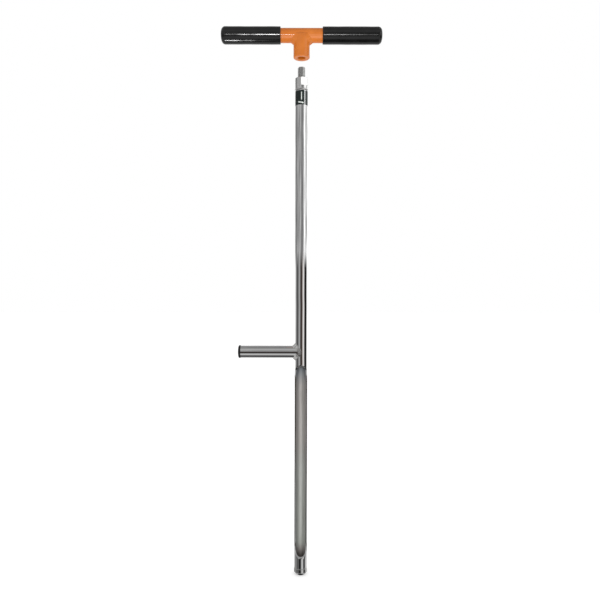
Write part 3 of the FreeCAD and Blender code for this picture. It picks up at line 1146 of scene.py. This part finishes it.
def makeGrip(name, node, turn):
    sizes = gripSizes
    radius = radiusOf(node, "y")
    bar, mouth = handle["barRadius"], handle["exposed"]
    seat = bar + sizes["seatGap"]
    corner, dome, spacing = sizes["corner"], sizes["dome"], sizes["ringSpacing"]
    tip = handle["barHalf"] + sizes["end"]
    rise = radius - corner
    domeCentre = tip - dome
    cornerCentre = domeCentre + math.sqrt((dome - corner) ** 2 - rise**2)
    lean = math.asin(rise / (dome - corner))
    outline = [(dome * math.sin(a), -domeCentre - dome * math.cos(a)) for a in np.linspace(0, lean, 8)]
    outline += [
        (rise + corner * math.sin(a), -cornerCentre - corner * math.cos(a))
        for a in np.linspace(lean, math.pi / 2, 18)[1:]
    ]
    outline += [(radius, x) for x in np.arange(-cornerCentre + spacing, -mouth - spacing, spacing)]
    outline += [(radius, -mouth, sizes["mouth"]), (seat, -mouth, sizes["boreRound"])]
    outline += [(seat, -handle["barHalf"]), (0, -handle["barHalf"])]
    swing = placed(handle["axis"], turn)

    def uneven(point):
        away = math.hypot(point.y, point.z)
        if away > bar + 1 * mm:
            wave = sum(size * math.sin(point.x * rate + phase * turn) for size, rate, phase in sizes["waves"])
            scale = 1 + wave / away
            point = Vector((point.x, point.y * scale, point.z * scale))
        return swing(point)

    grip = lathe(name, outline, [vinyl], axis="x", reshape=uneven)
    finishPiece(grip, "handle", node)


makeBar()
makeSocket()
makeSocketWeld()
makeGrip("leftGrip", "left_grip", 0.0)
makeGrip("rightGrip", "right_grip", math.pi)


# camera, floor and studio
cameraSizes = {"distance": 1.03, "eye": 0.4505, "side": -1.8 * mm, "fieldOfView": 51.3, "roll": 0.12}


def makeCamera():
    sizes = cameraSizes
    data = bpy.data.cameras.new("camera")
    data.angle = math.radians(sizes["fieldOfView"])
    data.clip_start = 10 * mm
    camera = addObject("camera", data)
    level = Matrix.Rotation(math.radians(90), 4, "X")
    roll = Matrix.Rotation(math.radians(sizes["roll"]), 4, "Z")
    place = Matrix.Translation((sizes["side"], -sizes["distance"], sizes["eye"]))
    camera.matrix_world = place @ level @ roll
    bpy.context.scene.camera = camera


floorSizes = {"half": 20.0, "tone": 0.93, "glow": 0.35}


def makeFloor():
    sizes = floorSizes
    grid = bmesh.new()
    bmesh.ops.create_grid(grid, x_segments=4, y_segments=4, size=sizes["half"])
    mesh = bpy.data.meshes.new("floor")
    grid.to_mesh(mesh)
    grid.free()
    floor = addObject("floor", mesh)
    floor.location.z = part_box("cutting_tip")[0].z
    floor.visible_glossy = False  # the bright metal mirrors the studio's panels instead
    finish = Finish("paleFloor")
    tone = sizes["tone"]
    finish.setShader(Base_Color=(tone, tone, tone, 1), Roughness=0.9, Specular_IOR_Level=0.1)
    finish.setShader(Emission_Color=(1, 1, 1, 1), Emission_Strength=sizes["glow"])
    mesh.materials.append(finish.material)


# studio panels round the tool: (degrees from the viewer's side towards +X, brightness)
studio = {
    "strength": 1.3,
    "above": [
        (-180, 1.2), (-150, 0.95), (-132, 0.25), (-101, 0.20), (-88, 0.34), (-75, 0.33),
        (-62, 0.42), (-53, 0.40), (-40, 0.33), (-27, 0.44), (-15, 0.50), (-4, 0.34),
        (6, 0.27), (20, 0.22), (30, 0.27), (41, 0.42), (52, 1.1), (66, 1.3),
        (76, 1.1), (84, 0.76), (100, 0.62), (116, 0.60), (130, 1.2), (180, 1.2),
    ],
    "below": [
        (-180, 1.2), (-128, 1.1), (-112, 0.45), (-92, 0.26), (-78, 0.09), (-62, 0.09),
        (-47, 0.27), (-35, 0.42), (-24, 0.50), (-15, 0.16), (-8, (0.07, 0.06, 0.055)),
        (10, (0.035, 0.022, 0.018)), (17, (0.09, 0.07, 0.06)), (27, (0.42, 0.39, 0.375)),
        (40, (0.88, 0.84, 0.82)), (52, (1.0, 0.97, 0.95)), (59, 0.5), (66, 0.03),
        (78, 0.006), (106, 0.006), (114, 0.2), (123, 0.6), (136, 1.2), (180, 1.2),
    ],
    "foot": [
        (-180, 0.75), (-150, 0.50), (-125, 0.30), (-86, 0.30), (-72, 0.12), (-60, 0.09),
        (-47, 0.19), (-38, 0.12), (-28, 0.035), (-18, 0.012), (-6, 0.012), (4, 0.11),
        (14, 0.38), (24, 0.75), (36, 0.62), (46, 0.45), (54, 0.06), (62, 0.03),
        (74, 0.06), (84, 0.12), (94, 0.50), (104, 0.65), (134, 0.72), (180, 0.75),
    ],
    # straight down to straight up, by the direction's height
    "steep": [
        (-1.0, 0.04), (-0.945, 0.045), (-0.905, 0.50), (-0.80, 0.60), (-0.56, 0.58), (0.0, 0.40),
        (0.5, 0.62), (0.66, 0.52), (0.80, 0.38), (0.94, 0.33), (1.0, 0.27),
    ],
    "matt": [(0.0, 1.12), (0.45, 1.06), (0.75, 0.90), (1.0, 0.78)],
    "seam": (0.052, 0.078),  # height where the lower panels end
    "footSeam": (-0.30, -0.22),
    "steepSeam": (0.44, 0.56),
    "waver": 5.0,  # degrees
    "waverScale": 26.0,
    "streaks": 34.0,  # contrast of the creases
    "creaseSpread": (3.4, 13.0),  # how fast they change round the tool and upwards
    "creaseScale": 1.6,
}


def makeSurroundings():
    world = bpy.data.worlds.new("studio")
    bpy.context.scene.world = world
    world.use_nodes = True
    bench = NodeBench(world.node_tree)
    maths = bench.maths
    background = world.node_tree.nodes["Background"]
    direction = bench.add("ShaderNodeTexCoord").outputs["Generated"]
    split = bench.add("ShaderNodeSeparateXYZ")
    bench.link(direction, split.inputs[0])
    strength = studio["strength"]

    def dimmed(tone):
        return tuple(part / strength for part in tone) if isinstance(tone, tuple) else tone / strength

    def between(value, low, high):
        return maths("DIVIDE", maths("SUBTRACT", value, low), high - low, clamp=True)

    height = split.outputs[2]
    angle = maths("ARCTAN2", split.outputs[0], maths("MULTIPLY", split.outputs[1], -1.0))
    wave = bench.add("ShaderNodeTexNoise", noise_dimensions="1D")
    wave.inputs["Scale"].default_value = studio["waverScale"]
    wave.inputs["Detail"].default_value = 1.0
    bench.link(height, wave.inputs["W"])
    sway = maths("MULTIPLY", maths("SUBTRACT", wave.outputs["Fac"], 0.5), math.radians(studio["waver"]) * 2)
    share = maths("ADD", maths("DIVIDE", maths("ADD", angle, sway), 2 * math.pi), 0.5)

    def panels(name):
        return bench.ramp(share, [((degrees + 180) / 360, dimmed(tone)) for degrees, tone in studio[name]])

    # soft wandering streaks in the upper panels, as creased paper gives
    spread = bench.add("ShaderNodeCombineXYZ")
    for socket, value, rate in zip(spread.inputs, (angle, height), studio["creaseSpread"]):
        bench.link(maths("MULTIPLY", value, rate), socket)
    crease = bench.noiseOn(spread.outputs[0], studio["creaseScale"], 2.0)
    gain = maths("POWER", studio["streaks"], maths("SUBTRACT", crease, 0.5))
    streaked = bench.add("ShaderNodeVectorMath", operation="MULTIPLY")
    bench.link(panels("above"), streaked.inputs[0])
    bench.link(gain, streaked.inputs[1])
    level = bench.mix(between(height, *studio["seam"]), panels("below"), streaked.outputs[0])
    level = bench.mix(between(height, *studio["footSeam"]), panels("foot"), level)
    flat = maths("ADD", maths("MULTIPLY", height, 0.5), 0.5)
    steep = bench.ramp(flat, [((rise + 1) / 2, dimmed(tone)) for rise, tone in studio["steep"]])
    whole = bench.mix(between(maths("ABSOLUTE", height), *studio["steepSeam"]), level, steep)
    # soft white for matt surfaces and an even white backdrop
    paths = bench.add("ShaderNodeLightPath")
    matt = bench.ramp(flat, [(rise, dimmed(tone)) for rise, tone in studio["matt"]])
    whole = bench.mix(paths.outputs["Is Diffuse Ray"], whole, matt)
    whole = bench.mix(paths.outputs["Is Camera Ray"], whole, dimmed((1.0, 1.0, 1.0)))
    bench.link(whole, background.inputs["Color"])
    background.inputs["Strength"].default_value = strength


handleAim = (0, 0, 0.886)
orangePieces = ("handleBar", "handleSocket", "socketWeld")
# lamps that only brighten the pieces named: (place, aim, width, height, brightness, pieces)
lamps = {
    "gripStripLeft": ((-0.105, -1.5, 0.655), handleAim, 0.15, 0.10, 120.0, ("leftGrip",)),
    "barStrip": ((-0.048, -1.5, 0.655), handleAim, 0.065, 0.09, 100.0, ("handleBar",)),
    "gripStripRight": ((0.07, -1.5, 0.655), handleAim, 0.15, 0.08, 40.0, ("rightGrip",)),
    "gripStripFar": ((0.22, -1.5, 0.655), handleAim, 0.15, 0.08, 9.0, ("rightGrip",)),
    "gripUnderLeft": ((-0.170, -0.02, 0.35), (-0.15, 0, 0.886), 0.06, 0.06, 40.0, ("leftGrip",)),
    "barUnder": ((0.05, -0.62, 0.34), handleAim, 0.7, 0.45, 2.0, orangePieces),
    "bandStrip": ((1.06, -0.56, 1.17), (0, 0, 0.78), 0.42, 0.6, 15.0, ("printedBand",)),
}


def addLamp(name, place, aim, width, height, brightness, pieces):
    data = bpy.data.lights.new(name, "AREA")
    data.shape = "RECTANGLE"
    data.size = width
    data.size_y = height
    data.energy = brightness * math.pi * width * height
    lamp = addObject(name, data)
    lamp.location = place
    lamp.rotation_euler = (Vector(aim) - Vector(place)).to_track_quat("-Z", "Y").to_euler()
    lamp.visible_camera = False
    group = bpy.data.collections.new(name + "Pieces")
    for piece in pieces:
        group.objects.link(bpy.data.objects[piece])
    lamp.light_linking.receiver_collection = group


makeCamera()
makeFloor()
makeSurroundings()
for name, lamp in lamps.items():
    addLamp(name, *lamp)
bpy.context.scene.view_settings.view_transform = "Standard"
print("studio made")
